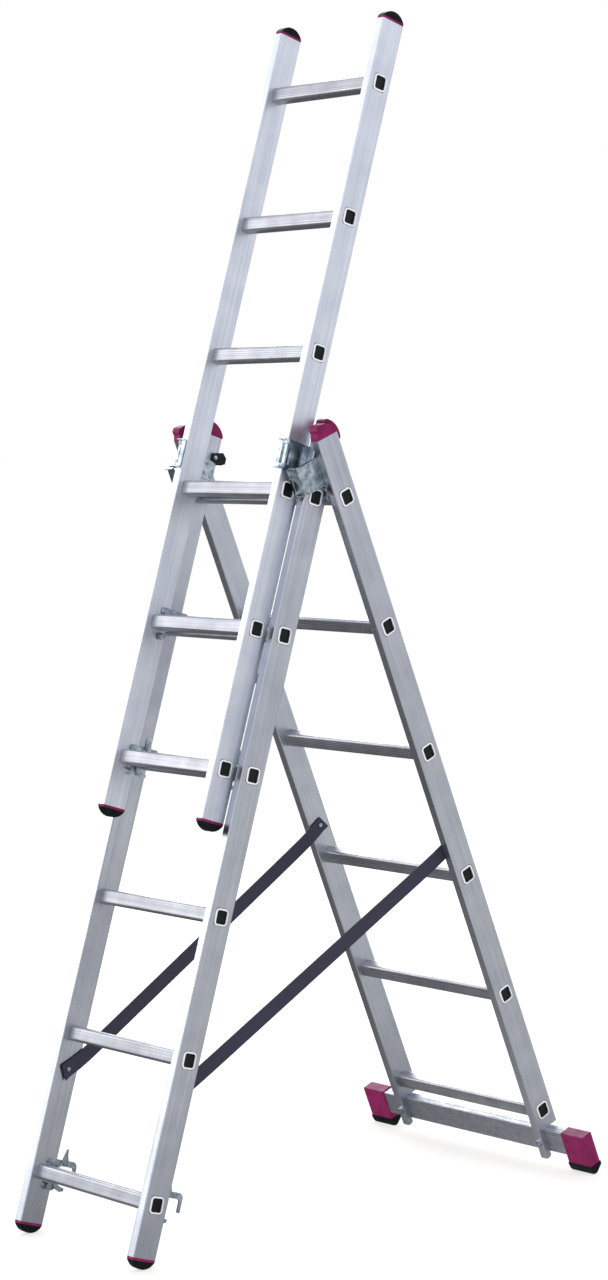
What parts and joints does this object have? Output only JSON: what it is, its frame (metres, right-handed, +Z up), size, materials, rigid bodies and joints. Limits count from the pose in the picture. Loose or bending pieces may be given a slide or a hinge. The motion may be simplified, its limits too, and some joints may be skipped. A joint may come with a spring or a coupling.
{
  "type": "extension ladder",
  "caption": "Combination ladder of nested aluminium sections, set up as a hinged A-frame with a raised sliding fly section, straps and a stabiliser beam.",
  "frame": {"origin": "on the floor, under the middle of the ladder's bounding box", "axes": "+X across the rungs to the climber's right when facing +Y, +Y from the climbing side to the stabiliser side, +Z up"},
  "size_m": [0.6896, 1.1098, 2.3918],
  "materials": {
    "aluminium_profile": "mill finish, drawn lengthwise",
    "aluminium_rung": "mill finish, grooved tread",
    "aluminium_beam": "matt mill finish",
    "zinc_steel": "zinc plated",
    "magenta_plastic": "moulded",
    "black_plastic": "moulded",
    "black_rubber": "moulded",
    "strap_webbing": "woven polyester"
  },
  "bodies": {
    "middle_section": {"fly_guide_brackets": "zinc_steel", "fly_guide_liners": "zinc_steel", "hinge_pins": "zinc_steel", "middle_fixings": "zinc_steel", "middle_foot_bands": "magenta_plastic", "middle_foot_pads": "black_rubber", "middle_guide_caps": "magenta_plastic", "middle_rung_1": "aluminium_rung", "middle_rung_2": "aluminium_rung", "middle_rung_3": "aluminium_rung", "middle_rung_4": "aluminium_rung", "middle_rung_5": "aluminium_rung", "middle_rung_6": "aluminium_rung", "middle_rung_hooks": "zinc_steel", "middle_rung_plugs": "black_plastic", "middle_stile_left": "aluminium_profile", "middle_stile_right": "aluminium_profile", "strap_left": "strap_webbing", "strap_right": "strap_webbing"},
    "rear_section": {"beam_bolts": "zinc_steel", "beam_foot_left": "magenta_plastic", "beam_foot_right": "magenta_plastic", "beam_sole_left": "black_rubber", "beam_sole_right": "black_rubber", "hinge_eyes": "zinc_steel", "middle_guide_brackets": "zinc_steel", "middle_guide_liners": "zinc_steel", "rear_fixings": "zinc_steel", "rear_guide_caps": "magenta_plastic", "rear_rung_1": "aluminium_rung", "rear_rung_2": "aluminium_rung", "rear_rung_3": "aluminium_rung", "rear_rung_4": "aluminium_rung", "rear_rung_5": "aluminium_rung", "rear_rung_6": "aluminium_rung", "rear_rung_plugs": "black_plastic", "rear_stile_left": "aluminium_profile", "rear_stile_right": "aluminium_profile", "stabiliser_beam": "aluminium_beam"},
    "fly_section": {"fly_end_bands": "magenta_plastic", "fly_end_pads": "black_rubber", "fly_fixings": "zinc_steel", "fly_rung_1": "aluminium_rung", "fly_rung_2": "aluminium_rung", "fly_rung_3": "aluminium_rung", "fly_rung_4": "aluminium_rung", "fly_rung_5": "aluminium_rung", "fly_rung_6": "aluminium_rung", "fly_rung_hooks": "zinc_steel", "fly_rung_plugs": "black_plastic", "fly_stile_left": "aluminium_profile", "fly_stile_right": "aluminium_profile"},
    "fly_latch_right": {"fly_latch_right": "zinc_steel"},
    "fly_latch_left": {"fly_latch_left": "zinc_steel"},
    "middle_latch_right": {"middle_latch_right": "zinc_steel"},
    "middle_latch_left": {"middle_latch_left": "zinc_steel"},
    "fly_catch_right": {"fly_catch_right": "zinc_steel"},
    "fly_catch_left": {"fly_catch_left": "zinc_steel"},
    "lock_lever_right": {"lock_lever_right": "black_plastic"},
    "lock_lever_left": {"lock_lever_left": "black_plastic"}
  },
  "joints": [
    {"name": "frame_fold", "type": "hinge", "parent": "middle_section", "child": "rear_section", "pos_m": [0, -0.00434, 1.43942], "axis": [-1, 0, 0], "range_deg": [0, 37.4], "deforming": ["strap_right", "strap_left"]},
    {"name": "fly_slide", "type": "slide", "parent": "middle_section", "child": "fly_section", "axis": [0, 0.3305, 0.9438], "range_m": [-0.84, 0.28]},
    {"name": "fly_latch_right_pivot", "type": "hinge", "parent": "fly_section", "child": "fly_latch_right", "pos_m": [0.144, -0.21356, 0.93576], "axis": [-1, 0, 0], "range_deg": [0, 7], "stiffness_Nm_per_rad": 0.05, "springref_deg": -28.65},
    {"name": "middle_latch_right_pivot", "type": "hinge", "parent": "middle_section", "child": "middle_latch_right", "pos_m": [0.17, -0.444, 0.12645], "axis": [-1, 0, 0], "range_deg": [0, 7], "stiffness_Nm_per_rad": 0.05, "springref_deg": -28.65},
    {"name": "fly_catch_right_pivot", "type": "hinge", "parent": "fly_section", "child": "fly_catch_right", "pos_m": [0.146, -0.15119, 1.21219], "axis": [1, 0, 0], "range_deg": [0, 70]},
    {"name": "lock_lever_right_pivot", "type": "hinge", "parent": "middle_section", "child": "lock_lever_right", "pos_m": [0.17, 0.01356, 1.51473], "axis": [-1, 0, 0], "range_deg": [0, 18], "stiffness_Nm_per_rad": 0.05, "springref_deg": -28.65},
    {"name": "fly_latch_left_pivot", "type": "hinge", "parent": "fly_section", "child": "fly_latch_left", "pos_m": [-0.144, -0.21356, 0.93576], "axis": [-1, 0, 0], "range_deg": [0, 7], "stiffness_Nm_per_rad": 0.05, "springref_deg": -28.65},
    {"name": "middle_latch_left_pivot", "type": "hinge", "parent": "middle_section", "child": "middle_latch_left", "pos_m": [-0.17, -0.444, 0.12645], "axis": [-1, 0, 0], "range_deg": [0, 7], "stiffness_Nm_per_rad": 0.05, "springref_deg": -28.65},
    {"name": "fly_catch_left_pivot", "type": "hinge", "parent": "fly_section", "child": "fly_catch_left", "pos_m": [-0.146, -0.15119, 1.21219], "axis": [1, 0, 0], "range_deg": [0, 70]},
    {"name": "lock_lever_left_pivot", "type": "hinge", "parent": "middle_section", "child": "lock_lever_left", "pos_m": [-0.17, 0.01356, 1.51473], "axis": [-1, 0, 0], "range_deg": [0, 18], "stiffness_Nm_per_rad": 0.05, "springref_deg": -28.65}
  ]
}
